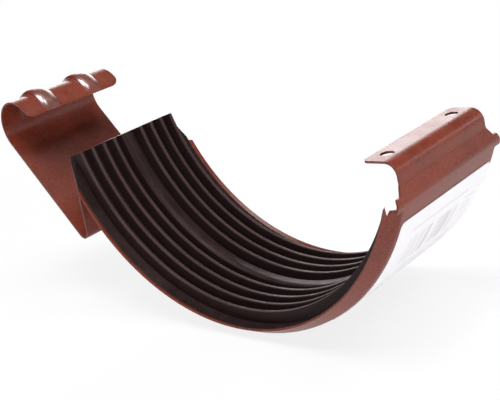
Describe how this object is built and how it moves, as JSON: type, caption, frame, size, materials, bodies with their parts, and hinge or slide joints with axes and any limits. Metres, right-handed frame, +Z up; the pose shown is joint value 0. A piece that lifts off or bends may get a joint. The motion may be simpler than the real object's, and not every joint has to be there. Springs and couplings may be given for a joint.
{
  "type": "gutter union",
  "caption": "Half-round gutter union: a folded sheet band with a hooked spring clip, a screw flange and a ribbed rubber seal.",
  "frame": {"origin": "on the gutter's axis, half way along the band", "axes": "+Z up with the flange level, +X towards the flange, Y along the gutter"},
  "size_m": [0.1663, 0.0528, 0.0731],
  "materials": {
    "band": "glossy red-brown coating with a fine grain",
    "seal": "matt black rubber",
    "label": "thin white paper"
  },
  "bodies": {
    "root": {"band": "band", "seal": "seal", "label": "label"}
  },
  "joints": []
}
